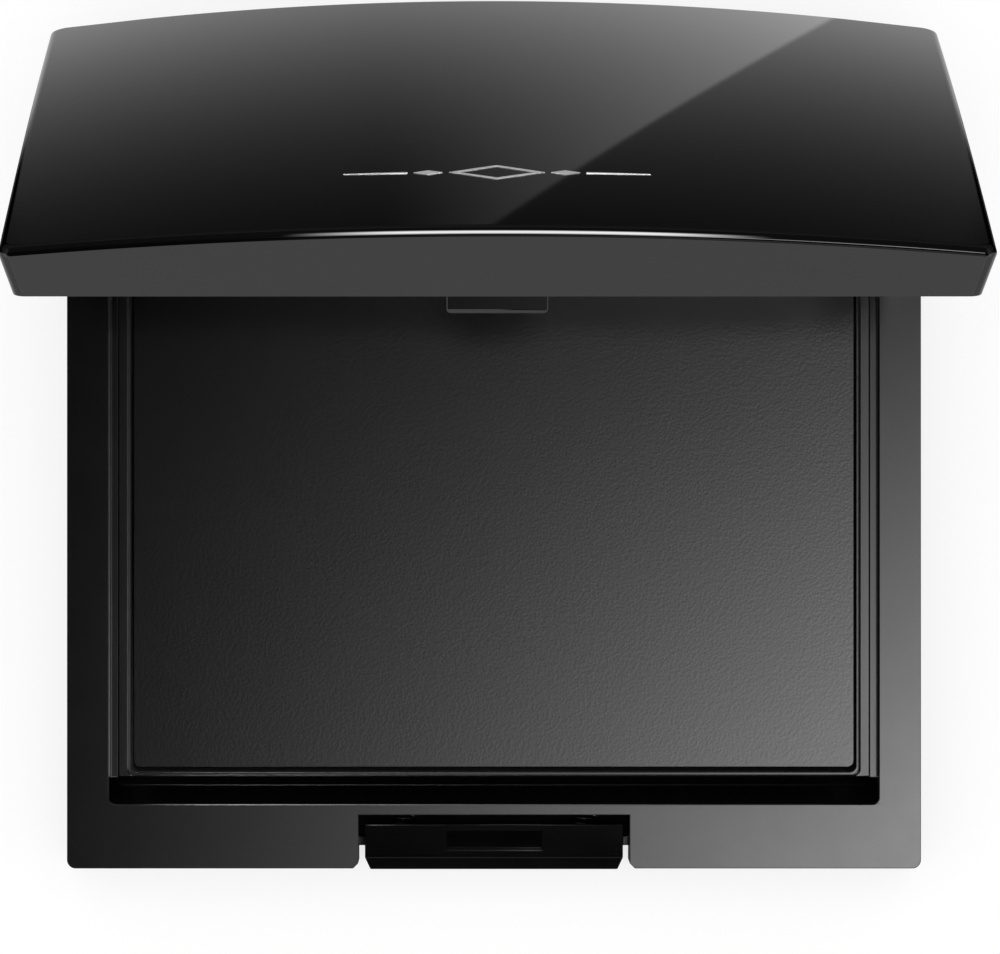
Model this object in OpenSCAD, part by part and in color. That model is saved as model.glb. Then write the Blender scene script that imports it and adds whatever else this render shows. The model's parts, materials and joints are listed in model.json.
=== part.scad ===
// Refillable magnetic compact: a shallow tray with a hinged, arched lid and a push-button latch.
// Millimetres. The origin is the centre of the base's underside. +Z is up and -Y is the latch side.
// The lid's pieces are drawn closed, then turned open about the hinge axis.

/* [Base] */
// Width of the base
base_w = 90; // [75:1:120]
// Depth of the base, front to rear
base_d = 83; // [70:1:110]
// Height of the base up to the parting plane
base_h = 7.5; // [6.5:0.1:10]
// Radius of the base's upright corners
base_corner_r = 0.9; // [0.6:0.1:3]
// Bevel around the underside
base_bevel = 0.6; // [0.3:0.1:1]
// Thickness of the casing's outer walls
casing_wall = 1.4; // [1.2:0.1:1.8]
// Thickness of the casing's floor
casing_floor = 1.3; // [1:0.1:1.6]
// Thickness of the base frame's flat top plate
frame_plate = 1.6; // [1.4:0.1:2]

/* [Tray opening] */
// Width of the flat band at each side of the opening
band_side = 4.4; // [3.5:0.1:8]
// Width of the flat band in front of the opening
band_front = 6.75; // [6.5:0.05:10]
// Width of the flat band behind the opening
band_rear = 3.3; // [3:0.1:8]
// Radius of the opening's corners
opening_r = 0.7; // [0.5:0.1:3]
// Width of the ledge around the liner at the sides and rear
step_side = 0.85; // [0.6:0.05:2]
// Width of the sloping wall in front of the liner
step_front = 1.9; // [1.2:0.05:3]
// Depth of the ledge below the band
step_depth = 2.9; // [2.2:0.1:3.2]
// Thickness of the frame's skirt and latch walls
skirt_wall = 1; // [0.8:0.1:1.2]

/* [Liner and sheet] */
// Width of the liner's top edge
liner_wall = 0.92; // [0.7:0.01:1.5]
// Depth of the liner's top edge below the band
liner_depth = 3; // [2.6:0.1:3.4]
// Width of the lip at the liner's foot
liner_lip = 0.32; // [0.2:0.01:0.5]
// How far the lip stands above the sheet
lip_rise = 0.25; // [0.1:0.05:0.5]
// Clearance between the lip and the sheet at the sides and rear
sheet_gap_side = 0.22; // [0.1:0.01:0.6]
// Clearance between the lip and the sheet at the front
sheet_gap_front = 0.52; // [0.1:0.01:0.8]
// Thickness of the magnetic sheet
sheet_t = 0.9; // [0.6:0.1:1.2]
// Thickness of the adhesive films
film_t = 0.15; // [0.1:0.05:0.2]

/* [Latch] */
// Width of the button
button_w = 27.2; // [20:0.1:34]
// Side clearance between the button and its notch
button_gap = 0.7; // [0.3:0.1:1]
// Travel of the button
button_travel = 0.85; // [0.6:0.05:1]
// Width of the catch tab
catch_w = 9.55; // [8:0.05:12]
// Thickness of the catch tab
catch_t = 1; // [0.8:0.05:1.2]
// How far the catch reaches below the parting plane
catch_h = 2.55; // [2.2:0.05:2.8]
// How far the catch's bead stands out
bead_out = 0.42; // [0.3:0.02:0.5]
// Outer radius of a latch spring
spring_r = 1.2; // [1:0.1:1.3]
// Radius of the spring wire
wire_r = 0.15; // [0.1:0.01:0.2]
// Turns of a latch spring
spring_turns = 5; // [4:1:6]
// Distance of each spring from the centre line
spring_x = 9.6; // [8:0.1:12]

/* [Hinge] */
// Radius of a hinge pin
pin_r = 0.75; // [0.6:0.05:0.8]
// Radius of the knuckles
knuckle_r = 1.7; // [1.6:0.1:1.9]
// Running clearance between a pin and the lid's knuckle
pin_clear = 0.05; // [0.03:0.01:0.1]
// Length of a lid knuckle
lid_knuckle_l = 9; // [6:0.5:12]
// Length of a base knuckle
base_knuckle_l = 4; // [3:0.5:6]
// Distance from the centre line to a hinge's middle
hinge_x = 27.4; // [24:0.1:32]
// How far the hinge axis lies behind the base
hinge_out = 0.3; // [0.2:0.05:0.6]

/* [Lid] */
// How far the lid stands open
lid_open = 72.5; // [0:0.5:120]
// Gap between the closed lid and the base
lid_gap = 0.1; // [0.06:0.01:0.2]
// How far the lid's lower edge stands out past the base
lid_lip = 0.45; // [0.05:0.05:0.6]
// How far the rim flares out between its lower edge and the top
lid_flare = 1.22; // [0.5:0.01:2]
// Height of the rim at the lid's corners
lid_rim_h = 5; // [4.6:0.1:7]
// Rise of the arch across the front edge
arch_front = 2.1; // [1:0.1:4]
// Rise of the arch across the rear edge
arch_rear = 3.1; // [1:0.1:4]
// Rise of the top from front to rear
arch_length = 0.6; // [0.2:0.1:1.5]
// Rounding between the rim and the top
lid_round = 0.75; // [0.4:0.05:1]
// Radius of the lid's upright corners
lid_corner_r = 1.2; // [0.8:0.1:3]
// Thickness of the cover
cover_t = 1.3; // [1.1:0.1:1.5]
// Thickness of the lid frame's flange
flange_t = 1.2; // [1:0.1:1.4]
// Width of the lid frame's border beside the mirror
mirror_border = 4.6; // [3.5:0.1:8]
// Thickness of the mirror glass
mirror_t = 1.3; // [1:0.1:1.5]
// How far the mirror lies inside the frame's face
mirror_inset = 0.35; // [0.2:0.05:0.5]
// Radius of the mirror's corners
mirror_r = 1.5; // [1:0.1:4]

/* [Emblem] */
// Length of the foil ornament
emblem_w = 29.4; // [20:0.1:40]
// Height of the foil ornament
emblem_h = 4.6; // [3:0.1:8]
// Distance of the ornament from the lid's front edge
emblem_from_front = 16.2; // [12:0.1:40]
// Width of the foil's lines
foil_line = 0.4; // [0.3:0.05:0.8]
// Thickness of the foil
foil_t = 0.05; // [0.03:0.01:0.1]

/* [Hidden] */

fit = 0.05;              // clearance between pieces that drop into each other
cut = 1;                 // how far a cutting tool runs past the face it opens
round_fn = 48;           // facets of small round features
gloss_black = "#1c1c1e";
gloss_grey = "#3a3b3e";
satin_black = "#242426";
steel = "silver";

// Base: edges of the opening, the liner and the sheet
front = -base_d / 2;
rear = base_d / 2;
side = base_w / 2;
seam_z = base_h - frame_plate;
open_side = side - band_side;
open_front = front + band_front;
open_rear = rear - band_rear;
pocket_side = open_side - step_side;
pocket_front = open_front + step_front;
pocket_rear = open_rear - step_side;
step_z = base_h - step_depth;
liner_out = fit;
liner_in_side = pocket_side - liner_out - liner_wall;
liner_in_front = pocket_front + liner_out + liner_wall;
liner_in_rear = pocket_rear - liner_out - liner_wall;
liner_top = base_h - liner_depth;
slope_run = liner_in_front - open_front;   // the front wall slopes across the frame and the liner
slope_fall = base_h - liner_top;
slope_seam_z = base_h - slope_fall * (pocket_front + liner_out - open_front) / slope_run;
sheet_z = casing_floor + film_t;
sheet_top = sheet_z + sheet_t;
sheet_side = liner_in_side - liner_lip - sheet_gap_side;
sheet_front = liner_in_front + liner_lip + sheet_gap_front;
sheet_rear = liner_in_rear - liner_lip - sheet_gap_side;

// Latch: places along Y, worked from the notch's rear wall towards the front
play = 0.06;             // clearance between the catch and the button's bar
notch_wall = skirt_wall + 0.11;         // from the opening's front edge to the notch's rear wall
button_stop = 0.16;      // gap left behind the button when it is pressed
button_out = 0.15;       // how far the button stands out of the base's front face
button_low = 0.15;       // how far the button's top lies below the band
button_lift = 0.2;       // gap between the button and the floor
notch_side = button_w / 2 + button_gap;
notch_rear = open_front - notch_wall;
button_rear = notch_rear - button_travel - button_stop;
button_front = front - button_out;
button_top = base_h - button_low;
button_bottom = casing_floor + button_lift;
button_fall = 0.2;       // fall of the button's top towards the front
button_slope = 1.3;      // how far back the sloped front face starts
button_slope_h = 1.35;   // drop from the button's top to the foot of its sloped front face
apron_z = 0.5;           // underside of the button's apron, seen from below
apron_t = 1.6;           // depth of the apron
apron_bevel = 0.4;       // bevel along the apron's lower front edge
apron_gap = 0.1;         // clearance between the apron and the floor's cut edge
floor_cut = front + apron_t + button_travel;
bar_t = 0.73;            // thickness of the bar that holds the bead
bar_low = 0.9;           // how far the bar lies below the band
bar_h = 0.85;            // height of the bar
bar_fall = 0.22;         // fall of the bar's top towards the catch
pocket_fall = 0.3;       // fall of the pocket's floor towards the front
bar_top = base_h - bar_low;
bar_bottom = bar_top - bar_h;
catch_rear = button_rear - bar_t - play;
catch_front = catch_rear - catch_t;
catch_lead = 0.5;        // height of the lead-in bevel at the catch's tip
catch_lead_run = 0.14;   // depth of that bevel
catch_r = 0.4;           // radius of the catch's lower corners
catch_side_gap = 0.28;   // clearance beside the catch in the button's pocket
catch_tip_gap = 0.35;    // clearance below the catch's tip
pocket_half = catch_w / 2 + catch_side_gap;
pocket_y = catch_front - button_travel - play;
catch_z = base_h - catch_h;
button_pocket_z = catch_z - catch_tip_gap;
bead_z = bar_bottom - fit;
bead_flat = 0.35;        // height of the bead's flat crest
ear_out = 1.4;           // how far the button's ears reach sideways
ear_t = 1;               // thickness of an ear
ear_front = front + 2.3; // front face of the ears
ear_low = 2.6;           // lower face of the ears
ear_high = 4.6;          // upper face of the ears
ear_gap = 0.1;           // clearance around an ear in its window
spring_z = 3.9;          // height of the springs' axes
spring_pocket = 2.3;     // depth of the button's spring pockets
spring_gap = 0.1;        // clearance around a spring in its pocket
notch_chamfer = 0.55;    // chamfer where the notch meets the front face

// Hinge
axis_y = rear + hinge_out;
axis_z = base_h + lid_gap / 2;
knuckle_gap = 0.15;      // gap between neighbouring knuckles
hinge_half = lid_knuckle_l / 2 + knuckle_gap + base_knuckle_l;
hinge_room = 0.15;       // clearance around the knuckles
knuckle_cut = min(axis_y - knuckle_r, rear - casing_wall) - hinge_room;
web_drop = 3.6;          // height of a base knuckle's web on the rear wall
web_foot = base_h - web_drop;
web_angle = asin(knuckle_r / norm([hinge_out, axis_z - web_foot]))
    + atan(hinge_out / (axis_z - web_foot));

// Lid, closed
lid_z = base_h + lid_gap;
lid_side = side + lid_lip;
lid_front = front - lid_lip;
lid_rear = rear + lid_lip;
lid_mid = (lid_front + lid_rear) / 2;
lid_half_d = (lid_rear - lid_front) / 2;
top_side = lid_side + lid_flare;
top_half_d = lid_half_d + lid_flare;
corner_top = lid_z + lid_rim_h;
rebate = cover_t;        // width of the cover's edge beside the lid frame
flange_side = lid_side - rebate - fit;
flange_half_d = lid_half_d - rebate - fit;
flange_top = lid_z + flange_t;
box_in = 1.1;            // how far the mirror box lies inside the flange's edge
ledge_w = 0.9;           // width of the ledge inside the cover that the flange seats on
rim_extra = 0.5;         // extra thickness of the rim where it meets the top
hinge_top = axis_z + knuckle_r + hinge_room;
rear_zone = 4;           // depth behind which the cover's edge is raised over the knuckles
edge_step = 0.02;        // width of the opening's upright edges, which are all but vertical
top_step = 0.6;          // the same points' spacing at the top of the rim
box_wall = 0.9;          // thickness of the mirror box behind the mirror
pocket_mirror_z = lid_z + mirror_inset + mirror_t + film_t;
box_top = pocket_mirror_z + box_wall;
mirror_side = flange_side - mirror_border;
mirror_half_d = flange_half_d - mirror_border;

// Emblem
emblem_y = lid_front + emblem_from_front;
emblem_gap = 0.6;        // gap between the ornament's pieces
foil_tip = 0.03;         // half width of a tapered end
foil_lift = 0.01;        // glue under the foil

// Height of the lid's top at a place in plan, from the arch across and the arch lengthwise
function along(y) = (y - lid_mid) / top_half_d;
function arch(y) = (arch_front + arch_rear) / 2 + (arch_rear - arch_front) / 2 * along(y);
function top_z(x, y) = corner_top + arch(y) * (1 - pow(x / top_side, 2))
    + arch_length * (1 - pow(along(y), 2));

// Rounded rectangle in plan, from its half width, front, rear and corner radius
module plan(half, y0, y1, r) {
    for (x = [-half + r, half - r], y = [y0 + r, y1 - r]) {
        translate([x, y]) circle(r, $fn = round_fn);
    }
    translate([-half + r, y0]) square([2 * (half - r), y1 - y0]);
    translate([-half, y0 + r]) square([2 * half, y1 - y0 - 2 * r]);
}

module slab(half, y0, y1, r, z0, z1) {
    translate([0, 0, z0]) linear_extrude(z1 - z0) plan(half, y0, y1, r);
}

// Extrudes a Y-Z outline along X, centred
module along_x(length) {
    translate([-length / 2, 0, 0]) rotate([90, 0, 90]) linear_extrude(length) children();
}

// Cylinder on the hinge axis, centred at x
module on_axis(x, length, r) {
    translate([x - length / 2, axis_y, axis_z]) rotate([0, 90, 0]) {
        cylinder(h = length, r = r, $fn = round_fn);
    }
}

// Turns the lid's pieces from closed to their rest pose
module opened() {
    translate([0, axis_y, axis_z]) rotate([-lid_open, 0, 0]) translate([0, -axis_y, -axis_z]) {
        children();
    }
}

// Outer block of the base with a bevel around its underside
module base_block(z1) {
    intersection() {
        slab(side, front, rear, base_corner_r, 0, z1);
        along_x(base_w + 2 * cut) polygon([
            [front + base_bevel, 0], [rear - base_bevel, 0], [rear, base_bevel],
            [rear, z1], [front, z1], [front, base_bevel]]);
        translate([0, rear + cut, 0]) rotate([90, 0, 0]) linear_extrude(base_d + 2 * cut) {
            polygon([[base_bevel - side, 0], [side - base_bevel, 0], [side, base_bevel],
                     [side, z1], [-side, z1], [-side, base_bevel]]);
        }
    }
}

// Plan of the latch notch, with small chamfers where it meets the front face
module notch_plan(y1) {
    polygon([
        [-notch_side, y1], [notch_side, y1], [notch_side, front + notch_chamfer],
        [notch_side + notch_chamfer, front], [notch_side + notch_chamfer, front - cut],
        [-notch_side - notch_chamfer, front - cut], [-notch_side - notch_chamfer, front],
        [-notch_side, front + notch_chamfer]]);
}

// One base knuckle with the web that carries it, centred at x
module base_knuckle(x) {
    on_axis(x, base_knuckle_l, knuckle_r);
    translate([x, 0, 0]) along_x(base_knuckle_l) polygon([
        [rear - casing_wall, web_foot], [rear, web_foot],
        [axis_y + knuckle_r * cos(web_angle), axis_z - knuckle_r * sin(web_angle)],
        [axis_y, axis_z], [rear - casing_wall, axis_z]]);
}

module base_casing() {
    color(gloss_grey) difference() {
        union() {
            difference() {
                base_block(seam_z);
                slab(side - casing_wall, front + casing_wall, rear - casing_wall,
                     base_corner_r, casing_floor, seam_z + cut);
            }
            for (s = [-1, 1], k = [-1, 1]) {
                base_knuckle(s * hinge_x + k * (hinge_half - base_knuckle_l / 2));
            }
        }
        // Opening for the button through the front wall and the floor's front edge
        translate([0, 0, -cut]) linear_extrude(seam_z + 2 * cut) notch_plan(floor_cut);
        for (s = [-1, 1]) {
            on_axis(s * hinge_x, 2 * hinge_half + cut, pin_r);
            on_axis(s * hinge_x, lid_knuckle_l + 2 * knuckle_gap, knuckle_r + hinge_room);
        }
    }
}

// Block below the sloping front wall, between two places along Y
module front_slope(y0, y1, z1) {
    along_x(base_w) polygon([
        [y0, seam_z - slope_fall], [liner_in_front, seam_z - slope_fall], [liner_in_front, liner_top],
        [y1, z1], [y0, z1]]);
}

module base_frame() {
    skirt_z = casing_floor;
    color(gloss_grey) difference() {
        union() {
            slab(side, front, rear, base_corner_r, seam_z, base_h);
            slab(open_side + skirt_wall, open_front - skirt_wall, open_rear + skirt_wall / 2,
                 opening_r, step_z - skirt_wall, seam_z + fit);
            slab(pocket_side + skirt_wall, pocket_front - skirt_wall, pocket_rear + skirt_wall,
                 opening_r, skirt_z, step_z);
            // Latch box: side walls and the wall that the springs push on
            for (s = [-1, 1]) {
                translate([s * (notch_side + skirt_wall / 2) - skirt_wall / 2,
                           front + casing_wall + fit, skirt_z]) {
                    cube([skirt_wall, pocket_front - front - casing_wall - skirt_wall,
                      seam_z - skirt_z + fit]);
                }
            }
            translate([-notch_side, notch_rear, skirt_z]) {
                cube([2 * notch_side, skirt_wall, seam_z - skirt_z + fit]);
            }
        }
        difference() {
            slab(open_side, open_front, open_rear, opening_r, step_z, base_h + cut);
            front_slope(open_front - cut, open_front, base_h);
        }
        slab(pocket_side, pocket_front, pocket_rear, opening_r, skirt_z - cut, base_h);
        translate([0, 0, skirt_z - cut]) linear_extrude(base_h) notch_plan(notch_rear);
        // Windows for the button's ears
        for (s = [-1, 1]) {
            translate([s * (notch_side + skirt_wall / 2) - skirt_wall, ear_front - fit,
                       ear_low - ear_gap]) {
                cube([2 * skirt_wall, ear_t + button_travel + 3 * fit,
                      ear_high - ear_low + 2 * ear_gap]);
            }
            // Cut-outs for the knuckles and their webs in the rear edge
            translate([s * hinge_x - hinge_half - knuckle_gap, knuckle_cut, seam_z - cut]) {
                cube([2 * (hinge_half + knuckle_gap), rear + cut - knuckle_cut,
                      frame_plate + 2 * cut]);
            }
        }
    }
}

module tray_liner() {
    color(gloss_black) difference() {
        union() {
            slab(pocket_side - liner_out, pocket_front + liner_out, pocket_rear - liner_out,
                 opening_r - liner_out, casing_floor, liner_top);
            intersection() {
                slab(pocket_side - liner_out, pocket_front + liner_out, pocket_rear - liner_out,
                     opening_r - liner_out, liner_top - fit, base_h);
                front_slope(pocket_front, pocket_front + liner_out, slope_seam_z);
            }
        }
        slab(liner_in_side, liner_in_front, liner_in_rear, opening_r, sheet_top + lip_rise,
             liner_top + cut);
        slab(liner_in_side - liner_lip, liner_in_front + liner_lip, liner_in_rear - liner_lip,
             opening_r, casing_floor - cut, liner_top);
    }
}

module sheet_adhesive() {
    color("dimgray") slab(sheet_side, sheet_front, sheet_rear, opening_r, casing_floor, sheet_z);
}

module magnet_sheet() {
    color(satin_black) slab(sheet_side, sheet_front, sheet_rear, opening_r, sheet_z, sheet_top);
}

module latch_button() {
    apron_rear = front + apron_t - apron_gap;
    color(gloss_black) difference() {
        union() {
            intersection() {
                along_x(button_w) polygon([
                    [button_rear, button_bottom], [button_rear, button_top],
                    [button_front + button_slope, button_top - button_fall],
                    [button_front, button_top - button_slope_h],
                    [button_front, apron_z + apron_bevel], [button_front + apron_bevel, apron_z],
                    [apron_rear, apron_z], [apron_rear, button_bottom]]);
                linear_extrude(base_h) polygon([
                    [-button_w / 2, button_rear], [button_w / 2, button_rear],
                    [button_w / 2, button_front + button_slope],
                    [button_w / 2 - notch_chamfer, button_front],
                    [notch_chamfer - button_w / 2, button_front],
                    [-button_w / 2, button_front + button_slope]]);
            }
            translate([-button_w / 2 - ear_out, ear_front, ear_low]) {
                cube([button_w + 2 * ear_out, ear_t, ear_high - ear_low]);
            }
        }
        // Pocket for the catch, which leaves the bar bridging its rear
        difference() {
            along_x(2 * pocket_half) polygon([
                [pocket_y, button_pocket_z - pocket_fall], [button_rear + cut, button_pocket_z],
                [button_rear + cut, base_h], [pocket_y, base_h]]);
            along_x(2 * pocket_half + cut) polygon([
                [button_rear - bar_t, bar_bottom], [button_rear, bar_bottom],
                [button_rear, bar_top], [button_rear - bar_t, bar_top - bar_fall]]);
        }
        for (s = [-1, 1]) {
            translate([s * spring_x, button_rear + cut, spring_z]) rotate([90, 0, 0]) {
                cylinder(h = spring_pocket + cut, r = spring_r + spring_gap, $fn = round_fn);
            }
        }
    }
}

// Coil spring along Y between the button's pocket and the notch's rear wall
module latch_spring(x) {
    sides = 8;
    steps = 14;
    rings = spring_turns * steps;
    y0 = button_rear - spring_pocket + wire_r;
    y1 = notch_rear - wire_r;
    coil_r = spring_r - wire_r;
    points = [for (i = [0:rings], k = [0:sides - 1])
        let (turn = 360 * i / steps, a = 360 * k / sides, r = coil_r + wire_r * cos(a))
        [x + r * cos(turn), y0 + (y1 - y0) * i / rings + wire_r * sin(a),
         spring_z + r * sin(turn)]];
    walls = [for (i = [0:rings - 1], k = [0:sides - 1])
        let (next = (k + 1) % sides)
        [i * sides + k, (i + 1) * sides + k, (i + 1) * sides + next, i * sides + next]];
    caps = [[for (k = [0:sides - 1]) k], [for (k = [sides - 1:-1:0]) rings * sides + k]];
    color(steel) polyhedron(points, concat(walls, caps), convexity = 10);
}

module latch_spring_left() { latch_spring(-spring_x); }

module latch_spring_right() { latch_spring(spring_x); }

module hinge_pin(x) {
    color(steel) on_axis(x, 2 * hinge_half - 2 * knuckle_gap, pin_r);
}

module hinge_pin_left() { hinge_pin(-hinge_x); }

module hinge_pin_right() { hinge_pin(hinge_x); }

// Catch tab under the lid frame, with a bead on its rear face
module catch_tab() {
    crest = catch_rear + bead_out;
    crest_z = bead_z - 2 * fit;
    intersection() {
        along_x(catch_w) polygon([
            [catch_front, lid_z + fit], [catch_front, catch_z + catch_lead],
            [catch_front + catch_lead_run, catch_z], [catch_rear, catch_z],
            [crest, crest_z - bead_flat], [crest, crest_z], [catch_rear, bead_z],
            [catch_rear, lid_z + fit]]);
        translate([0, crest + cut, 0]) rotate([90, 0, 0]) linear_extrude(2 * cut + base_h) hull() {
            for (s = [-1, 1]) translate([s * (catch_w / 2 - catch_r), catch_z + catch_r]) {
                circle(catch_r, $fn = round_fn);
            }
            translate([-catch_w / 2, lid_z]) square([catch_w, cut]);
        }
    }
}

module lid_frame() {
    web_in = 3;
    color(gloss_black) opened() difference() {
        union() {
            slab(flange_side, lid_mid - flange_half_d, lid_mid + flange_half_d, lid_corner_r,
                 lid_z, flange_top);
            slab(flange_side - box_in, lid_mid - flange_half_d + box_in,
                 lid_mid + flange_half_d - box_in, lid_corner_r, flange_top - fit, box_top);
            for (s = [-1, 1]) {
                on_axis(s * hinge_x, lid_knuckle_l, knuckle_r);
                translate([s * hinge_x - lid_knuckle_l / 2, axis_y - knuckle_r - web_in, lid_z]) {
                    cube([lid_knuckle_l, knuckle_r + web_in, axis_z + knuckle_r - lid_z]);
                }
            }
            catch_tab();
        }
        slab(mirror_side, lid_mid - mirror_half_d, lid_mid + mirror_half_d, mirror_r,
             lid_z - cut, pocket_mirror_z);
        for (s = [-1, 1]) {
            on_axis(s * hinge_x, lid_knuckle_l + cut, pin_r + pin_clear);
            // Room for the base's knuckles beside the lid's own
            for (k = [-1, 1]) {
                translate([s * hinge_x + k * (hinge_half + lid_knuckle_l / 2) / 2, 0, 0]) {
                    on_axis(0, hinge_half - lid_knuckle_l / 2 + knuckle_gap,
                            knuckle_r + hinge_room);
                }
            }
        }
    }
}

// Points around a rounded rectangle in plan, centred on the lid, from its half sizes and corner
function outline(hx, hy, r) = [for (q = [0:3], i = [0:6])
    let (a = 90 * q + 15 * i, cx = (q == 0 || q == 3 ? 1 : -1) * (hx - r),
         cy = (q < 2 ? 1 : -1) * (hy - r))
    [cx + r * cos(a), lid_mid + cy + r * sin(a)]];

// Places along the cover's rear wall, from right to left. Each edge of the hinge openings has a
// pair of them, step apart.
hinge_edges = [for (s = [1, -1], k = [1, -1]) s * hinge_x + k * (hinge_half + knuckle_gap)];
function between(a, b, n) = [for (k = [1:n]) a + (b - a) * k / (n + 1)];
function pairs_at(edges, step) = [for (x = edges, k = [1, -1]) x + k * step / 2];
function rear_xs(step) = let (e = hinge_edges) concat(
    pairs_at([e[0]], step), between(e[0], e[1], 1), pairs_at([e[1]], step),
    between(e[1], e[2], 6),
    pairs_at([e[2]], step), between(e[2], e[3], 1), pairs_at([e[3]], step));

// The outline with extra points along its sides, so that the arch stays smooth. Where step is
// above 0, the rear points keep the hinge openings' places.
function ring(hx, hy, r, step) = let (p = outline(hx, hy, r)) concat(
    [for (i = [0:6]) p[i]],
    step > 0 ? [for (x = rear_xs(step)) [x, p[6][1]]] : between(p[6], p[7], 16),
    [for (i = [7:13]) p[i]], between(p[13], p[14], 12),
    [for (i = [14:20]) p[i]], between(p[20], p[21], 15),
    [for (i = [21:27]) p[i]], between(p[27], p[0], 12));

// A ring at the cover's lower edge, which is raised over the knuckles at the rear
function over_hinge(x) = abs(abs(x) - hinge_x) < hinge_half + knuckle_gap;
function edge_z(p, z) = p[1] > lid_mid + lid_half_d - rear_zone && over_hinge(p[0])
    ? hinge_top + (z - lid_z) * 0.1 : z;
function low_ring(inset, z) =
    [for (p = ring(lid_side - inset, lid_half_d - inset, lid_corner_r, edge_step))
    [p[0], p[1], edge_z(p, z)]];

// A ring on the top, drop below its surface. Share shrinks it and rounds its corners.
function top_ring(inset, share, drop) =
    let (hx = (top_side - inset) * share, hy = (top_half_d - inset) * share,
         r = max(lid_corner_r, hy * (1 - share)))
    [for (p = ring(hx, hy, r, share == 1 ? top_step : 0)) [p[0], p[1], top_z(p[0], p[1]) - drop]];

// Cover: rings of points from the lower edge up, inwards over the top, and back inside
module lid_cover() {
    shares = [0.85, 0.65, 0.45, 0.25, 0.08];
    inner = cover_t + rim_extra;
    out = concat(
        [low_ring(0, lid_z)],
        [for (a = [-18, 0, 22.5, 45, 67.5, 90])
            top_ring(lid_round * (1 - cos(a)), 1, lid_round * (1 - sin(a)))],
        [for (s = shares) top_ring(lid_round, s, 0)]);
    in = concat(
        [for (i = [len(shares) - 1:-1:0]) top_ring(inner, shares[i], cover_t)],
        [top_ring(inner, 1, cover_t)],
        [low_ring(rebate + ledge_w, flange_top), low_ring(rebate, flange_top),
         low_ring(rebate, lid_z)]);
    rings = concat(out, in);
    n = len(rings[0]);
    last = len(rings) - 1;
    split = len(out) - 1;
    middle = top_z(0, lid_mid);
    points = concat([for (q = rings, p = q) p],
        [[0, lid_mid, middle], [0, lid_mid, middle - cover_t]]);
    walls = [for (i = [0:last], k = [0:n - 1]) if (i != split)
        let (j = (i + 1) % (last + 1), next = (k + 1) % n)
        [i * n + k, j * n + k, j * n + next, i * n + next]];
    fans = [for (k = [0:n - 1], c = [0, 1]) let (next = (k + 1) % n, i = split + c)
        [i * n + (c == 0 ? next : k), i * n + (c == 0 ? k : next), (last + 1) * n + c]];
    color(gloss_black) opened() polyhedron(points, concat(walls, fans), convexity = 6);
}

// Foil that follows the lid's top between two edges, given as pairs of plan points along it
module foil(pairs, closed = false) {
    n = len(pairs);
    points = [for (q = pairs, c = [[0, 0], [1, 0], [1, 1], [0, 1]]) let (p = q[c[0]])
        [p[0], p[1], top_z(p[0], p[1]) + foil_lift + foil_t * c[1]]];
    walls = [for (i = [0:n - (closed ? 1 : 2)], k = [0:3])
        let (next = (k + 1) % 4, j = (i + 1) % n)
        [i * 4 + k, i * 4 + next, j * 4 + next, j * 4 + k]];
    caps = closed ? [] : [[3, 2, 1, 0], [for (k = [0:3]) (n - 1) * 4 + k]];
    polyhedron(points, concat(walls, caps));
}

// Pairs of points along a straight strip whose half height changes from start to middle to end
function strip(x0, x1, half) = [for (i = [0:8])
    let (t = i / 8, h = t < 0.5 ? half[0] + (half[1] - half[0]) * 2 * t
        : half[1] + (half[2] - half[1]) * (2 * t - 1))
    [[x0 + (x1 - x0) * t, emblem_y - h], [x0 + (x1 - x0) * t, emblem_y + h]]];

// Pairs of points around an open lozenge
function lozenge(hx, hy, line) = [for (q = [0:3], k = [0:3])
    let (c = [[1, 0], [0, 1], [-1, 0], [0, -1]], u = c[q] + (c[(q + 1) % 4] - c[q]) * k / 4,
         inset = line * norm([1 / hx, 1 / hy]))
    [[u[0] * hx, emblem_y + u[1] * hy],
     [u[0] * hx * (1 - inset), emblem_y + u[1] * hy * (1 - inset)]]];

// Ornament: an open lozenge, a solid lozenge beside it and a tapering line at each side
module lid_emblem() {
    small = emblem_h * 0.3;
    solid_x = emblem_h + emblem_gap;
    line_x = solid_x + 2 * small + emblem_gap;
    color(steel) opened() {
        foil(lozenge(emblem_h, emblem_h / 2, foil_line), closed = true);
        for (s = [0, 1]) mirror([s, 0, 0]) {
            foil(strip(solid_x, solid_x + 2 * small, [foil_tip, small / 2, foil_tip]));
            foil(strip(line_x, emblem_w / 2, [foil_line / 2, foil_line * 0.35, foil_tip]));
        }
    }
}

module mirror_glass() {
    z0 = lid_z + mirror_inset;
    color("lightblue") opened() slab(mirror_side - fit, lid_mid - mirror_half_d + fit,
        lid_mid + mirror_half_d - fit, mirror_r - fit, z0, z0 + mirror_t);
}

module mirror_adhesive() {
    z0 = lid_z + mirror_inset + mirror_t;
    color("dimgray") opened() slab(mirror_side - fit, lid_mid - mirror_half_d + fit,
        lid_mid + mirror_half_d - fit, mirror_r - fit, z0, z0 + film_t);
}

base_casing();
base_frame();
tray_liner();
sheet_adhesive();
magnet_sheet();
latch_button();
latch_spring_left();
latch_spring_right();
hinge_pin_left();
hinge_pin_right();
lid_frame();
lid_cover();
lid_emblem();
mirror_glass();
mirror_adhesive();
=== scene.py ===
"""Looks for the refillable magnetic compact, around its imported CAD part, in the CAD frame.

Lengths are in metres. Those in millimetres are multiplied by MM where they are used.
"""

import json
import math

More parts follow.
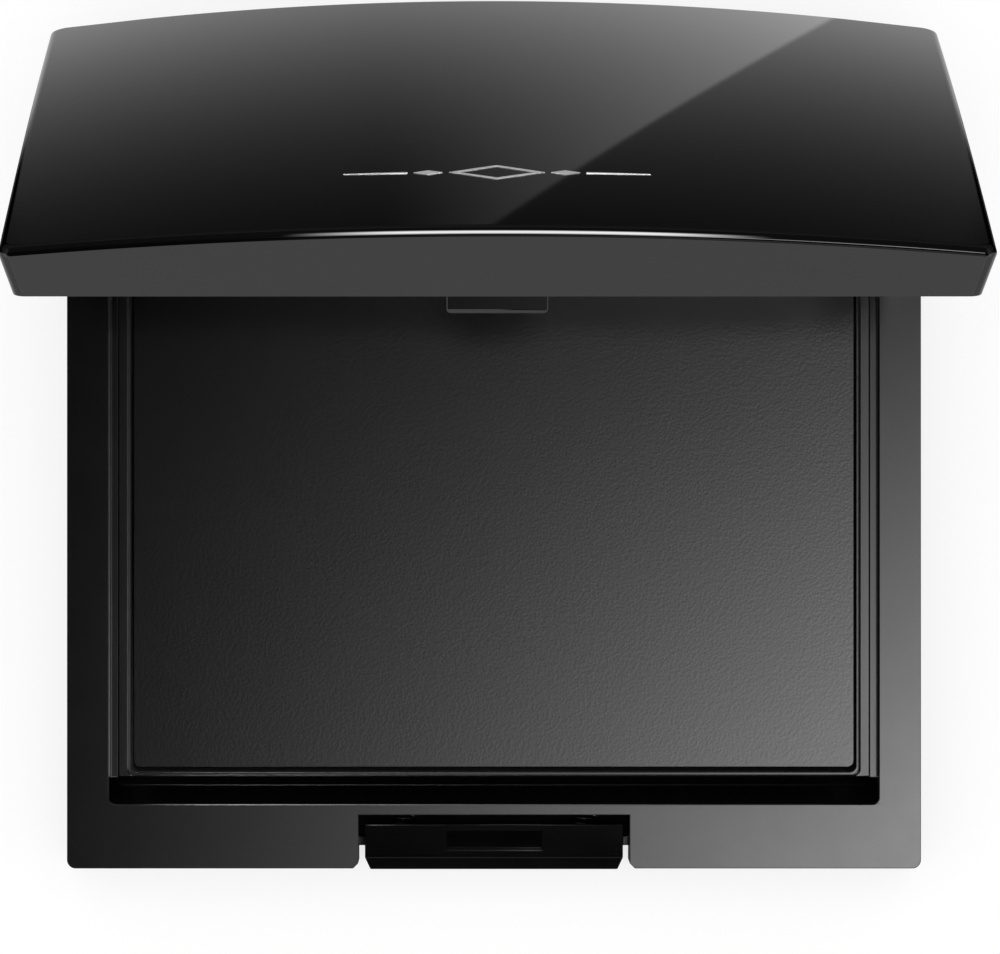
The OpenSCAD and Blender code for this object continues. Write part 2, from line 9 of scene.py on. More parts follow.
import bpy
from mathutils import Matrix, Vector


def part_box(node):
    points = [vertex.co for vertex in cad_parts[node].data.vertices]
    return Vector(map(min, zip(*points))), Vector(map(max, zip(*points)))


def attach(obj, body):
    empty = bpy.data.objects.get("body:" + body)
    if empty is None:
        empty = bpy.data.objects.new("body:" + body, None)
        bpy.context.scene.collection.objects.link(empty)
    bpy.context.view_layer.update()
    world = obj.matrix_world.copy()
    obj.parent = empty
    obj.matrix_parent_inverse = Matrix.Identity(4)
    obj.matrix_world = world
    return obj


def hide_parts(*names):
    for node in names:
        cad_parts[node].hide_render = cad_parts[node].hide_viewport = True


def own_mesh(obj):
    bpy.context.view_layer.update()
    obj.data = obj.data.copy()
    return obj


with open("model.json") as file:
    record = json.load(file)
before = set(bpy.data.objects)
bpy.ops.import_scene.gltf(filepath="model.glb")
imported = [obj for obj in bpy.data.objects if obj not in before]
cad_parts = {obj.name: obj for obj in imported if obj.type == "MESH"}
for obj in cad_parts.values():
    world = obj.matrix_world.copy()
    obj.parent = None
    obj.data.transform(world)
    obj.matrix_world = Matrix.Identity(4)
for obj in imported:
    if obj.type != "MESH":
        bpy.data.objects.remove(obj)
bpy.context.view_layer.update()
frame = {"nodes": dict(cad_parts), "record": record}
nodes = frame["nodes"]
record = frame["record"]
joints = {row["name"]: row for row in record["behaviour"]["joints"]}
MM = 0.001

# ---------------------------------------------------------------------------
# Node graphs
# ---------------------------------------------------------------------------


class Graph:
    """A node tree with short calls for its nodes. A value is a number or another node's socket."""

    def __init__(self, tree):
        self.tree = tree
        tree.nodes.clear()

    def node(self, kind, **settings):
        made = self.tree.nodes.new(kind)
        for name, value in settings.items():
            setattr(made, name, value)
        return made

    def put(self, socket, value):
        if isinstance(value, bpy.types.NodeSocket):
            self.tree.links.new(value, socket)
        else:
            socket.default_value = value

    def math(self, operation, a, b=0.0, c=0.0, clamp=False):
        made = self.node("ShaderNodeMath", operation=operation, use_clamp=clamp)
        for socket, value in zip(made.inputs, (a, b, c)):
            self.put(socket, value)
        return made.outputs[0]

    def add(self, a, b):
        return self.math("ADD", a, b)

    def mul(self, a, b):
        return self.math("MULTIPLY", a, b)

    def total(self, *values):
        result = values[0]
        for value in values[1:]:
            result = self.add(result, value)
        return result

    def linear(self, value, slope, offset):
        return self.math("MULTIPLY_ADD", value, slope, offset)

    def step(self, value, low, high):
        """0 below low, 1 above high and smooth between. High below low makes a falling step."""
        made = self.node("ShaderNodeMapRange", interpolation_type="SMOOTHSTEP")
        flipped = high < low
        edges = (high, low, 1.0, 0.0) if flipped else (low, high, 0.0, 1.0)
        self.put(made.inputs[0], value)
        for socket, edge in zip(list(made.inputs)[1:5], edges):
            self.put(socket, edge)
        return made.outputs[0]

    def band(self, value, low, high, soft):
        """1 between low and high, with soft edges outside them."""
        return self.mul(self.step(value, low - soft, low), self.step(value, high + soft, high))

    def noise(self, vector, scale, detail=2.0, roughness=0.5):
        made = self.node("ShaderNodeTexNoise")
        self.put(made.inputs["Vector"], vector)
        for name, value in (("Scale", scale), ("Detail", detail), ("Roughness", roughness)):
            made.inputs[name].default_value = value
        return made.outputs[0]

    def cells(self, vector, scale, feature="F1"):
        made = self.node("ShaderNodeTexVoronoi", feature=feature)
        self.put(made.inputs["Vector"], vector)
        made.inputs["Scale"].default_value = scale
        return made.outputs["Distance"]

    def split(self, vector):
        made = self.node("ShaderNodeSeparateXYZ")
        self.put(made.inputs[0], vector)
        return made.outputs

    def stretch(self, vector, scale):
        made = self.node("ShaderNodeMapping")
        self.put(made.inputs["Vector"], vector)
        made.inputs["Scale"].default_value = scale
        return made.outputs[0]


def place(g):
    """A piece's own coordinates, in metres."""
    return g.node("ShaderNodeTexCoord").outputs["Object"]


def add_object(name, mesh):
    made = bpy.data.objects.new(name, mesh)
    bpy.context.scene.collection.objects.link(made)
    return made


def emissive(name, radiance, clear=False):
    """A stage material whose emission is the value that radiance(graph, coordinates) returns. A
    clear one adds its light to what is behind it."""
    made = bpy.data.materials.new(name)
    made.use_nodes = True
    g = Graph(made.node_tree)
    glow = g.node("ShaderNodeEmission")
    g.put(glow.inputs["Strength"], radiance(g, g.split(place(g))))
    shade = glow
    if clear:
        shade = g.node("ShaderNodeAddShader")
        g.put(shade.inputs[0], glow.outputs[0])
        g.put(shade.inputs[1], g.node("ShaderNodeBsdfTransparent").outputs[0])
    out = g.node("ShaderNodeOutputMaterial")
    g.put(out.inputs["Surface"], shade.outputs[0])
    return made


# ---------------------------------------------------------------------------
# Materials of the object
# ---------------------------------------------------------------------------

REFRACTION = 1.5
MOTTLE_SCALE, MOTTLE_DETAIL, MOTTLE_ROUGHNESS = 60.0, 3.0, 0.6
SMUDGE_SCALE, SMUDGE_DETAIL, SMUDGE_ROUGHNESS = 190.0, 4.0, 0.65
BUMP_DETAIL = 3.0
ERODED_ROUGHNESS = 0.7
ERODED_SOFT = 0.05


def surface(name, colour, roughness, metallic=0.0, spread=0.25, bumps=(), mottle=0.25,
            coat=0.0, coat_roughness=0.03, specular=0.5, streak=None, inside=None):
    """A moulded, metal or rubber finish. Roughness varies by spread over a few millimetres, the
    colour by mottle, and bumps are (kind, scale, height in metres) from coarse to fine. Streak
    stretches the pattern along one axis, as drawing or grinding does. Inside is a box in
    millimetres, two corners, whose faces are spark-eroded and so matte."""
    made = bpy.data.materials.new(name)
    made.use_nodes = True
    g = Graph(made.node_tree)
    at = place(g)
    if streak:
        at = g.stretch(at, streak)
    shader = g.node("ShaderNodeBsdfPrincipled")
    shader.inputs["IOR"].default_value = REFRACTION
    shader.inputs["Metallic"].default_value = metallic
    shader.inputs["Specular IOR Level"].default_value = specular
    shader.inputs["Coat Weight"].default_value = coat
    shader.inputs["Coat Roughness"].default_value = coat_roughness

    patch = g.noise(at, MOTTLE_SCALE, MOTTLE_DETAIL, MOTTLE_ROUGHNESS)
    mix = g.node("ShaderNodeMix", data_type="RGBA")
    g.put(mix.inputs["Factor"], patch)
    mix.inputs["A"].default_value = [c * (1 - mottle) for c in colour] + [1]
    mix.inputs["B"].default_value = [min(1.0, c * (1 + mottle)) for c in colour] + [1]
    g.put(shader.inputs["Base Color"], mix.outputs["Result"])

    smudge = g.noise(at, SMUDGE_SCALE, SMUDGE_DETAIL, SMUDGE_ROUGHNESS)
    rough = g.linear(smudge, 2 * spread * roughness, roughness * (1 - spread))
    if inside:
        matte = 1.0
        for axis, low, high in zip(g.split(at), *inside):
            matte = g.mul(g.band(axis, low * MM, high * MM, ERODED_SOFT * MM), matte)
        rough = g.math("MAXIMUM", rough, g.mul(matte, ERODED_ROUGHNESS))
    g.put(shader.inputs["Roughness"], rough)

    normal = None
    for kind, scale, height in bumps:
        if kind == "NOISE":
            field = g.noise(at, scale, BUMP_DETAIL)
        else:
            field = g.cells(at, scale, kind)
        bump = g.node("ShaderNodeBump")
        bump.inputs["Strength"].default_value = 1.0
        bump.inputs["Distance"].default_value = height
        g.put(bump.inputs["Height"], field)
        if normal is not None:
            g.put(bump.inputs["Normal"], normal)
        normal = bump.outputs[0]
    if normal is not None:
        g.put(shader.inputs["Normal"], normal)
        if coat:
            g.put(shader.inputs["Coat Normal"], normal)
    out = g.node("ShaderNodeOutputMaterial")
    g.put(out.inputs["Surface"], shader.outputs[0])
    return made


BLACK = (0.0007, 0.0007, 0.0008)
finishes = {
    "casing_plastic": surface("casing_plastic", BLACK, 0.12,
                              inside=((-43.5, -40, 1.2), (43.5, 40, 5.8)),
                              bumps=[("NOISE", 260.0, 1.2e-6), ("NOISE", 2600.0, 2.5e-7)]),
    "frame_plastic": surface("frame_plastic", BLACK, 0.10,
                             bumps=[("NOISE", 220.0, 1.0e-6), ("NOISE", 3200.0, 2.0e-7)]),
    "liner_plastic": surface("liner_plastic", BLACK, 0.12,
                             bumps=[("NOISE", 400.0, 8.0e-7), ("NOISE", 3000.0, 2.5e-7)]),
    "sheet_rubber": surface("sheet_rubber", (0.0008, 0.0008, 0.0009), 0.11, spread=0.15,
                            bumps=[("NOISE", 2000.0, 6.0e-7), ("F1", 3300.0, 1.2e-6),
                                   ("NOISE", 7000.0, 3.0e-7)]),
    "sheet_film": surface("sheet_film", (0.35, 0.34, 0.32), 0.35, mottle=0.08,
                          bumps=[("NOISE", 1500.0, 4.0e-6)]),
    "button_plastic": surface("button_plastic", BLACK, 0.16, specular=0.16,
                              bumps=[("NOISE", 500.0, 1.0e-6), ("F1", 9000.0, 1.2e-6)]),
    "spring_steel": surface("spring_steel", (0.09, 0.09, 0.095), 0.30, metallic=1.0,
                            mottle=0.1, bumps=[("NOISE", 5000.0, 1.5e-6)]),
    "pin_steel": surface("pin_steel", (0.60, 0.60, 0.61), 0.26, metallic=1.0, mottle=0.08,
                         streak=(1.0, 12.0, 12.0), bumps=[("NOISE", 900.0, 1.5e-6)]),
    "lid_frame_plastic": surface("lid_frame_plastic", BLACK, 0.09,
                                 bumps=[("NOISE", 260.0, 1.0e-6), ("NOISE", 3000.0, 2.0e-7)]),
    "lid_gloss": surface("lid_gloss", (0.0010, 0.0010, 0.0011), 0.035, spread=0.3,
                         bumps=[("NOISE", 90.0, 6.0e-7)]),
    "foil_silver": surface("foil_silver", (0.74, 0.74, 0.75), 0.42, metallic=0.55, mottle=0.06,
                           bumps=[("NOISE", 4500.0, 1.5e-6)]),
    "mirror_silver": surface("mirror_silver", (0.88, 0.89, 0.90), 0.012, metallic=1.0,
                             mottle=0.01, coat=1.0, coat_roughness=0.01,
                             bumps=[("NOISE", 40.0, 1.5e-7)]),
    "mirror_film": surface("mirror_film", (0.35, 0.34, 0.32), 0.5, mottle=0.08,
                           bumps=[("NOISE", 1500.0, 4.0e-6)]),
}
slot_of = {row["node"]: row["material_slot"] for row in record["subparts"]}


def dress(obj, slot):
    obj.data.materials.clear()
    obj.data.materials.append(finishes[slot])


for name, obj in nodes.items():
    dress(obj, slot_of[name])


WELD_GAP = 0.002 * MM
FLAT_ANGLE = 0.6
FLAT_WEIGHT = 100


def soften(name, width, angle=25.0, segments=3):
    """Rounds a CAD node's edges by a width in millimetres, as moulded and ground pieces have them.
    Flat faces are joined first and then keep their own normals."""
    obj = nodes[name]
    obj.data.polygons.foreach_set("use_smooth", [True] * len(obj.data.polygons))
    weld = obj.modifiers.new("weld", "WELD")
    weld.merge_threshold = WELD_GAP
    flat = obj.modifiers.new("flat", "DECIMATE")
    flat.decimate_type = "DISSOLVE"
    flat.angle_limit = math.radians(FLAT_ANGLE)
    bevel = obj.modifiers.new("edges", "BEVEL")
    bevel.width = width * MM
    bevel.segments = segments
    bevel.limit_method = "ANGLE"
    bevel.angle_limit = math.radians(angle)
    bevel.use_clamp_overlap = False
    weight = obj.modifiers.new("normals", "WEIGHTED_NORMAL")
    weight.mode = "FACE_AREA"
    weight.weight = FLAT_WEIGHT
    weight.keep_sharp = False


EDGES = {"base_casing": 0.12, "base_frame": 0.075, "tray_liner": 0.05, "latch_button": 0.10,
         "lid_frame": 0.10, "magnet_sheet": 0.08, "mirror_glass": 0.25}
for name, width in EDGES.items():
    soften(name, width)
for side in ("left", "right"):
    soften(f"hinge_pin_{side}", 0.12, angle=40)

# ---------------------------------------------------------------------------
# Lid cover: the CAD's own surface at a finer step
# ---------------------------------------------------------------------------

hinge = joints["lid_hinge"]
axis_y, axis_z = hinge["pos_m"][1] / MM, hinge["pos_m"][2] / MM
open_angle = math.radians(-hinge["range_deg"][0])

# The cover's own sizes as in the CAD source, in millimetres
LID_Z = 7.6
LID_SIDE, LID_HALF_D = 45.45, 41.95
FLARE, RIM_H, ROUND = 1.22, 5.0, 0.75
ARCH_FRONT, ARCH_REAR, ARCH_LENGTH = 2.1, 3.1, 0.6
COVER_T, RIM_EXTRA, REBATE, LEDGE_W, FLANGE_T = 1.3, 0.5, 1.3, 0.9, 1.2
CORNER_R = 1.2
HINGE_X, HINGE_HALF = 27.4, 8.8
HINGE_TOP, HINGE_DEPTH, HINGE_SQUEEZE = 9.4, 4.0, 0.1
STEP_LOW, STEP_TOP = 0.02, 0.6
CORNER_STEPS, FRONT_STEPS, SIDE_STEPS, REAR_STEPS = 12, 56, 48, 46
MIDDLE_STEPS, BESIDE_STEPS = 22, 8
ARC_FROM, ARC_TO, ARC_STEP = -18, 90, 9
SHARE_STEP, SHARE_COUNT, UNDER_EVERY = 0.02, 48, 4
SLOPE_STEP = 0.01
SHARP_ANGLE = 40
top_side, top_half_d = LID_SIDE + FLARE, LID_HALF_D + FLARE


def opened(x, y, z):
    """A point of the closed lid, in millimetres, at the rest pose in metres."""
    s, t = axis_y - y, z - axis_z
    c, k = math.cos(open_angle), math.sin(open_angle)
    return Vector((x, axis_y - s * c + t * k, axis_z + s * k + t * c)) * MM


def turned(x, y, z):
    c, k = math.cos(open_angle), math.sin(open_angle)
    return Vector((x, y * c + z * k, -y * k + z * c)).normalized()


def arch(y):
    return (ARCH_FRONT + ARCH_REAR) / 2 + (ARCH_REAR - ARCH_FRONT) / 2 * y / top_half_d


def top_z(x, y):
    return (LID_Z + RIM_H + arch(y) * (1 - (x / top_side) ** 2)
            + ARCH_LENGTH * (1 - (y / top_half_d) ** 2))


def top_normal(x, y):
    e = SLOPE_STEP
    dx = (top_z(x + e, y) - top_z(x - e, y)) / (2 * e)
    dy = (top_z(x, y + e) - top_z(x, y - e)) / (2 * e)
    return turned(-dx, -dy, 1.0)


def spaced(a, b, count):
    return [a + (b - a) * (k + 1) / (count + 1) for k in range(count)]


def rear_stops(step):
    """Places along the rear wall from right to left, doubled at the hinge openings' edges."""
    edges = [s * HINGE_X + k * HINGE_HALF for s in (1, -1) for k in (1, -1)]
    stops = []
    for i, x in enumerate(edges):
        stops += [x + step / 2, x - step / 2]
        if i < 3:
            stops += spaced(x, edges[i + 1], MIDDLE_STEPS if i == 1 else BESIDE_STEPS)
    return stops


def ring(hx, hy, r, step):
    """Plan points of a rounded rectangle, anticlockwise from +X."""
    points = []
    for q in range(4):
        cx = (1 if q in (0, 3) else -1) * (hx - r)
        cy = (1 if q < 2 else -1) * (hy - r)
        arc = [math.radians(90 * q + 90 * i / CORNER_STEPS) for i in range(CORNER_STEPS + 1)]
        points += [(cx + r * math.cos(a), cy + r * math.sin(a)) for a in arc]
        if q == 0:
            stops = rear_stops(step) if step else spaced(hx - r, r - hx, REAR_STEPS)
            points += [(x, hy) for x in stops]
        elif q == 1:
            points += [(-hx, y) for y in spaced(hy - r, r - hy, SIDE_STEPS)]
        elif q == 2:
            points += [(x, -hy) for x in spaced(r - hx, hx - r, FRONT_STEPS)]
        else:
            points += [(hx, y) for y in spaced(r - hy, hy - r, SIDE_STEPS)]
    return points


def low_ring(inset, z):
    rows = []
    for x, y in ring(LID_SIDE - inset, LID_HALF_D - inset, CORNER_R, STEP_LOW):
        over = y > LID_HALF_D - HINGE_DEPTH and abs(abs(x) - HINGE_X) < HINGE_HALF
        rows.append((x, y, HINGE_TOP + (z - LID_Z) * HINGE_SQUEEZE if over else z))
    return rows


def top_ring(inset, share, drop):
    hx, hy = (top_side - inset) * share, (top_half_d - inset) * share
    r = max(CORNER_R, hy * (1 - share))
    return [(x, y, top_z(x, y) - drop)
            for x, y in ring(hx, hy, r, STEP_TOP if share == 1 else 0)]


def build_cover():
    arcs = [math.radians(a) for a in range(ARC_FROM, ARC_TO + 1, ARC_STEP)]
    shares = [1 - SHARE_STEP * k for k in range(1, SHARE_COUNT + 1)]
    inner = COVER_T + RIM_EXTRA
    rings = [low_ring(0, LID_Z)]
    rings += [top_ring(ROUND * (1 - math.cos(a)), 1, ROUND * (1 - math.sin(a))) for a in arcs]
    arc_end = len(rings) - 1
    rings += [top_ring(ROUND, s, 0) for s in shares]
    split = len(rings) - 1
    rings += [top_ring(inner, s, COVER_T) for s in reversed(shares[::UNDER_EVERY])]
    rings += [top_ring(inner, 1, COVER_T), low_ring(REBATE + LEDGE_W, LID_Z + FLANGE_T),
              low_ring(REBATE, LID_Z + FLANGE_T), low_ring(REBATE, LID_Z)]
    n = len(rings[0])
    verts = [opened(*p) for row in rings for p in row]
    verts += [opened(0, 0, top_z(0, 0)), opened(0, 0, top_z(0, 0) - COVER_T)]
    faces = []
    for i in range(len(rings)):
        if i == split:
            continue
        j = (i + 1) % len(rings)
        faces += [(i * n + k, i * n + (k + 1) % n, j * n + (k + 1) % n, j * n + k)
                  for k in range(n)]
    top, under = len(verts) - 2, len(verts) - 1
    faces += [(split * n + k, split * n + (k + 1) % n, top) for k in range(n)]
    faces += [((split + 1) * n + (k + 1) % n, (split + 1) * n + k, under) for k in range(n)]
    mesh = bpy.data.meshes.new("lid_cover_shell")
    mesh.from_pydata(verts, [], faces)
    mesh.validate()
    mesh.shade_smooth()
    mesh.set_sharp_from_angle(angle=math.radians(SHARP_ANGLE))
    # The top's own slope, so that its reflections are as smooth as the real moulding's
    normals = [(0.0, 0.0, 0.0)] * len(verts)
    for k in range(n):
        before, after = verts[n + (k - 1) % n], verts[n + (k + 1) % n]
        wall = (after - before).cross(verts[n + k] - verts[k]).normalized()
        crest = top_normal(*rings[arc_end][k][:2])
        spread = wall.angle(crest)
        for i in range(2):
            normals[i * n + k] = wall
        for i in range(2, arc_end + 1):
            t = (i - 1) / (arc_end - 1)
            normals[i * n + k] = (wall * math.sin((1 - t) * spread)
                                  + crest * math.sin(t * spread)).normalized()
        for i in range(arc_end + 1, split + 1):
            normals[i * n + k] = top_normal(*rings[i][k][:2])
    normals[top] = top_normal(0, 0)
    mesh.normals_split_custom_set_from_vertices(normals)
    shell = add_object("lid_cover_shell", mesh)
    dress(shell, "lid_gloss")
    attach(shell, "lid")
    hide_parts("lid_cover")


build_cover()

# ---------------------------------------------------------------------------
# Latch springs: real coils whose turns close up at each end
# ---------------------------------------------------------------------------

WIRE_R = 0.15
TURNS, TURN_STEPS, WIRE_SIDES = 5, 40, 12
END_EASE = 0.06
WIRE_SHARP_ANGLE = 50


def build_spring(side):
    low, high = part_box(f"latch_spring_{side}")
    wire = WIRE_R * MM
    coil = (high.x - low.x) / 2 - wire
    mid = (low + high) / 2
    y0, y1 = low.y + wire, high.y - wire
    rings, verts, faces = TURNS * TURN_STEPS, [], []
    for i in range(rings + 1):
        share = i / rings
        # The pitch is small in the end turns and even between them
        ease = share - END_EASE * math.sin(2 * math.pi * share)
        a = 2 * math.pi * TURNS * share
        centre = Vector((mid.x + coil * math.cos(a), y0 + (y1 - y0) * ease,
                         mid.z + coil * math.sin(a)))
        out = Vector((math.cos(a), 0, math.sin(a)))
        for k in range(WIRE_SIDES):
            b = 2 * math.pi * k / WIRE_SIDES
            verts.append(centre + wire * (out * math.cos(b) + Vector((0, math.sin(b), 0))))
    for i in range(rings):
        for k in range(WIRE_SIDES):
            a, b = i * WIRE_SIDES + k, i * WIRE_SIDES + (k + 1) % WIRE_SIDES
            faces.append((a, a + WIRE_SIDES, b + WIRE_SIDES, b))
    faces.append(tuple(range(WIRE_SIDES)))
    faces.append(tuple(rings * WIRE_SIDES + k for k in reversed(range(WIRE_SIDES))))
    name = f"latch_coil_{side}"
    mesh = bpy.data.meshes.new(name)
    mesh.from_pydata(verts, [], faces)
    mesh.shade_smooth()
    mesh.set_sharp_from_angle(angle=math.radians(WIRE_SHARP_ANGLE))
    coil_obj = add_object(name, mesh)
    dress(coil_obj, "spring_steel")
    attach(coil_obj, "base")
    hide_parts(f"latch_spring_{side}")
    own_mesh(coil_obj)


for side in ("left", "right"):
    build_spring(side)

# ---------------------------------------------------------------------------
# Studio: pale floor, soft light and what the gloss reflects
# ---------------------------------------------------------------------------

# The camera looks straight down. It was fitted to the outline of the base and the open lid
CAMERA_AT = (-3.0, -0.24, 724.9)
LENS, SENSOR, SHIFT_X = 245.06, 36, 0.0345

camera_data = bpy.data.cameras.new("camera")
camera_data.lens = LENS
camera_data.sensor_width = SENSOR
camera_data.shift_x = SHIFT_X
camera_data.clip_start = 10 * MM
camera = add_object("camera", camera_data)
camera.location = [v * MM for v in CAMERA_AT]
bpy.context.scene.camera = camera
bpy.context.scene.view_settings.view_transform = "Standard"


def sheet_of_light(name, low, high, z, material, seen_by):
    """A flat stage piece between two corners in plan. seen_by names the rays that see it."""
    x0, y0, x1, y1 = (v * MM for v in (*low, *high))
    mesh = bpy.data.meshes.new(name)
    plan = [(x0, y0), (x1, y0), (x1, y1), (x0, y1)]
    mesh.from_pydata([(x, y, z * MM) for x, y in plan], [], [(0, 1, 2, 3)])
    made = add_object(name, mesh)
    mesh.materials.append(material)
    for kind in ("camera", "diffuse", "glossy", "transmission", "shadow"):
        setattr(made, f"visible_{kind}", kind in seen_by)
    return made


FLOOR_HALF = 3000
FLOOR_ALBEDO, FLOOR_EMISSION, FLOOR_ROUGHNESS = 0.28, 0.76, 0.7

floor_white = bpy.data.materials.new("floor_white")
floor_white.use_nodes = True
g = Graph(floor_white.node_tree)
paper = g.node("ShaderNodeBsdfPrincipled")
paper.inputs["Base Color"].default_value = (FLOOR_ALBEDO, FLOOR_ALBEDO, FLOOR_ALBEDO, 1)
paper.inputs["Roughness"].default_value = FLOOR_ROUGHNESS
paper.inputs["Specular IOR Level"].default_value = 0.0
paper.inputs["Emission Color"].default_value = (1, 1, 1, 1)
paper.inputs["Emission Strength"].default_value = FLOOR_EMISSION
g.put(g.node("ShaderNodeOutputMaterial").inputs["Surface"], paper.outputs[0])
sheet_of_light("floor", (-FLOOR_HALF, -FLOOR_HALF), (FLOOR_HALF, FLOOR_HALF), -0.05,
               floor_white, ("camera", "diffuse", "transmission", "shadow"))


def in_mm(g, at):
    return g.mul(at[0], 1 / MM), g.mul(at[1], 1 / MM)


# What the gloss sees of the floor. Places are in millimetres, strengths in radiance
REAR_FADE, REAR_FROM, REAR_GLOW, REAR_MOST, REAR_LEAST = 11.5, 54, 0.5, 0.6, 0.002
WEDGE_WIDE, WEDGE_FROM, WEDGE_POWER, WEDGE_GLOW = 34, 14, 1.5, 0.25
WEDGE_SLANT, WEDGE_EDGE = 37.5 / 35, (92.6, 91.4)
LID_SHADE = (66.0, 55.0)
BEHIND_HINGE = (40.0, 46.0)
FAR, FAR_GLOW = (92.0, 170.0), 0.08
NEAR, NEAR_GLOW = (-45.0, -70.0), 0.8
BESIDE, BESIDE_GLOW = (-60.0, 44.0, 8.0), 0.05
OUTSIDE, OUTSIDE_ALONG, OUTSIDE_GLOW = (55.0, 62.0), (-60.0, 16.0, 8.0), 0.85


def floor_glow(g, at):
    """Pale in front and at the sides, falling off behind the open lid."""
    x, y = in_mm(g, at)
    side = g.math("ABSOLUTE", x)
    fade = g.math("EXPONENT", g.linear(y, -1 / REAR_FADE, REAR_FROM / REAR_FADE))
    fall = g.add(g.math("MINIMUM", g.mul(fade, REAR_GLOW), REAR_MOST), REAR_LEAST)
    # A paler wedge to the left of a slanting edge, strongest along the edge
    ramp = g.math("MAXIMUM", g.linear(x, 1 / WEDGE_WIDE, WEDGE_FROM / WEDGE_WIDE), 0.0)
    ramp = g.mul(g.math("POWER", ramp, WEDGE_POWER), WEDGE_GLOW)
    wedge = g.mul(ramp, g.step(g.add(g.mul(x, WEDGE_SLANT), y), *WEDGE_EDGE))
    behind = g.mul(g.add(fall, wedge), g.step(side, *LID_SHADE))
    behind = g.mul(behind, g.step(y, *BEHIND_HINGE))
    far = g.mul(g.step(y, *FAR), FAR_GLOW)
    near = g.mul(g.step(y, *NEAR), NEAR_GLOW)
    beside = g.mul(g.band(y, *BESIDE), BESIDE_GLOW)
    outside = g.mul(g.step(side, *OUTSIDE), g.band(y, *OUTSIDE_ALONG))
    return g.total(behind, near, far, beside, g.mul(outside, OUTSIDE_GLOW))


sheet_of_light("floor_reflection", (-FLOOR_HALF, -FLOOR_HALF), (FLOOR_HALF, FLOOR_HALF), -0.1,
               emissive("floor_reflection", floor_glow), ("glossy",))

STRIP_X, STRIP_Y, STRIP_GLOW = (-8.0, 14.0, 13.0), (24.5, 25.5, 5.0), 22.0


def strip_glow(g, at):
    """A strip light that fades towards its ends. It makes the bright line on the lid's rim."""
    x, y = in_mm(g, at)
    return g.mul(g.mul(g.band(x, *STRIP_X), g.band(y, *STRIP_Y)), STRIP_GLOW)


sheet_of_light("edge_strip", (-24, 19.3), (28, 31), 100,
               emissive("edge_strip", strip_glow, clear=True), ("glossy",))

EDGE_FADE, EDGE_FROM, EDGE_END, EDGE_GLOW = 14, 30, (-44.0, -34.0), 80.0
EDGE_LIGHT_AT = (15.5, 92.5)


def edge_glow(g, at):
    """Light for the tray's front edge, from the front face only, strongest at the left."""
    x = in_mm(g, at)[0]
    back = g.node("ShaderNodeNewGeometry").outputs["Backfacing"]
    front_face = g.math("SUBTRACT", 1.0, back)
    fade = g.math("MINIMUM", g.linear(x, -1 / EDGE_FADE, -EDGE_FROM / EDGE_FADE), 0.0)
    lit = g.mul(g.math("EXPONENT", fade), g.step(x, *EDGE_END))
    return g.mul(g.mul(lit, front_face), EDGE_GLOW)


# It leans back as the lid does, so that the tray under it sees only its clear back
edge_light = sheet_of_light("front_edge_light", (-50, 0), (46, 175), 0,
                            emissive("front_edge_light", edge_glow, clear=True), ("glossy",))
edge_light.rotation_euler = (open_angle, 0, 0)
edge_light.location = (0, EDGE_LIGHT_AT[0] * MM, EDGE_LIGHT_AT[1] * MM)

# The sky. way is a direction; u and v are its slopes from straight up, to +X and to +Y
world = bpy.data.worlds.new("studio")
bpy.context.scene.world = world
world.use_nodes = True
g = Graph(world.node_tree)
way = g.split(g.node("ShaderNodeTexCoord").outputs["Generated"])
up = g.math("MAXIMUM", way[2], 0.02)
u, v = g.math("DIVIDE", way[0], up), g.math("DIVIDE", way[1], up)
side_by = g.math("ABSOLUTE", way[0])

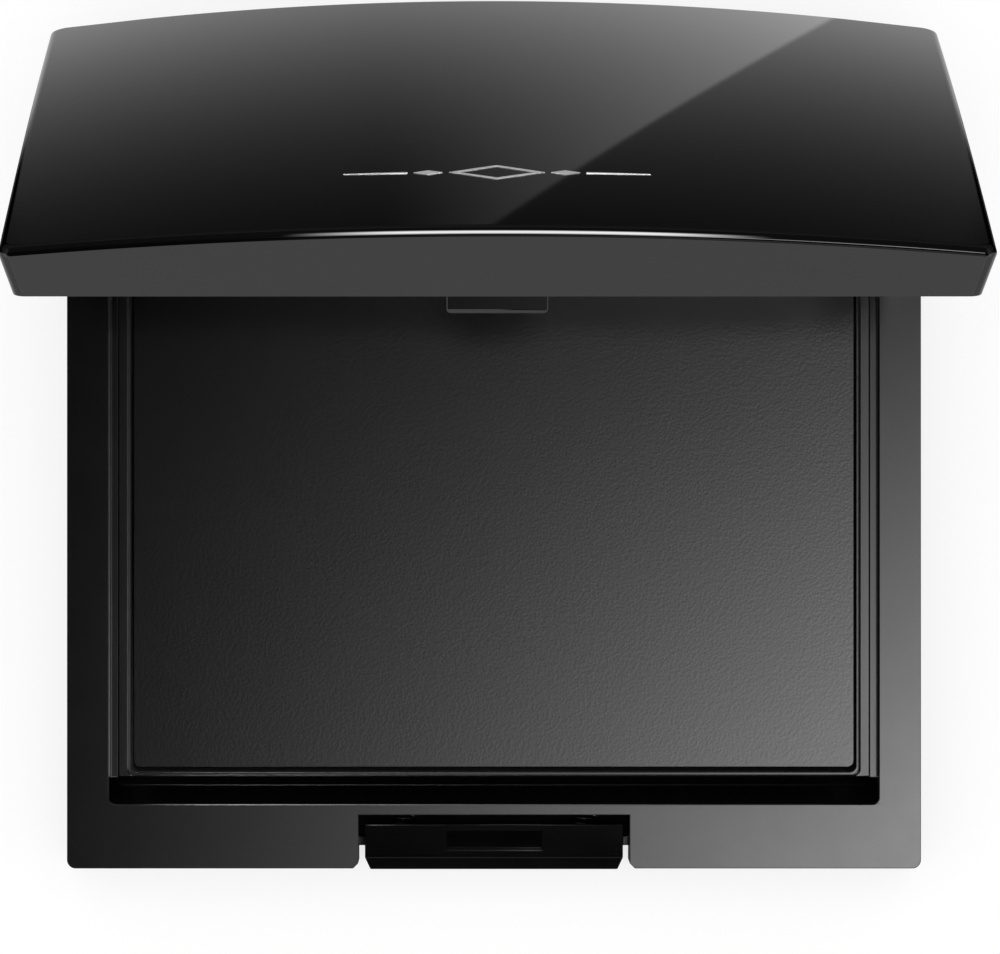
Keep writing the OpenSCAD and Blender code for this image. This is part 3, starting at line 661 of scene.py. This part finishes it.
# Overhead panel, which grades from dark at the rear left to bright at the front right. Its tone
# is the display level, 0 to 255, that it gives in plain gloss. It's turned into radiance by the
# display's curve, and plain gloss sends back one part in 25 of it
ACROSS, ACROSS_LEAST = (727.0, 53.8), 3.0
DEPTH, DEPTH_LEAST = (-12.9, 0.928), 0.2
TONE_MOST, DISPLAY, GLOSS_PARTS = 190.0, 255, 25.0
CURVE_FOOT, CURVE_POWER = 0.055, 2.4
across = g.math("MAXIMUM", g.linear(u, *ACROSS), ACROSS_LEAST)
depth = g.math("MAXIMUM", g.linear(v, *DEPTH), DEPTH_LEAST)
tone = g.math("MINIMUM", g.mul(across, depth), TONE_MOST)
curve = 1 + CURVE_FOOT
light = g.math("POWER", g.linear(tone, 1 / (DISPLAY * curve), CURVE_FOOT / curve), CURVE_POWER)
covered = g.mul(g.mul(g.step(v, -0.095, -0.075), g.step(v, 0.25, 0.12)),
                g.band(u, -0.12, 0.12, 0.05))
panel = g.mul(g.mul(light, GLOSS_PARTS), covered)

# Low front softbox, side softboxes and a faint rear horizon
FRONT_GLOW, SIDES_GLOW, HORIZON_GLOW, FILL_GLOW, CORNER_GLOW = 1.58, 0.35, 0.2, 0.65, 1.3
front = g.mul(g.band(way[2], 0.24, 0.62, 0.06), g.step(way[1], -0.05, -0.35))
sides = g.mul(g.band(way[2], 0.35, 0.80, 0.12), g.step(side_by, 0.45, 0.62))
horizon = g.mul(g.band(way[2], 0.0, 0.10, 0.10), g.step(way[1], 0.2, 0.6))
# What the lid's mirror throws on to the rear of the tray
fill = g.mul(g.band(v, -0.95, -0.50, 0.10), g.step(u, -0.05, 0.06))
fill = g.mul(fill, g.step(side_by, 0.25, 0.15))
# The front softbox reaches down to the floor at its sides, for the lid's front corners
corner = g.mul(g.band(way[2], -0.10, 0.24, 0.06), g.step(side_by, 0.30, 0.55))
corner = g.mul(corner, g.step(way[1], 0.1, -0.2))
# Elsewhere the room is dark, and darkest in front
DARK_MORE, DARK_LEAST = 0.07, 0.02
dark = g.linear(g.step(way[1], -0.25, 0.2), DARK_MORE, DARK_LEAST)
dark = g.mul(dark, g.linear(covered, -1.0, 1.0))
glow = g.total(panel, g.mul(front, FRONT_GLOW), g.mul(sides, SIDES_GLOW),
               g.mul(horizon, HORIZON_GLOW), g.mul(fill, FILL_GLOW),
               g.mul(corner, CORNER_GLOW), dark)

# Reflections see that pattern, and all other rays see an even light
EVEN_LIGHT = 1.2
path = g.node("ShaderNodeLightPath")
mix = g.node("ShaderNodeMix", data_type="FLOAT")
g.put(mix.inputs["Factor"], path.outputs["Is Glossy Ray"])
mix.inputs["A"].default_value = EVEN_LIGHT
g.put(mix.inputs["B"], glow)
background = g.node("ShaderNodeBackground")
g.put(background.inputs["Strength"], mix.outputs["Result"])
g.put(g.node("ShaderNodeOutputWorld").inputs["Surface"], background.outputs[0])
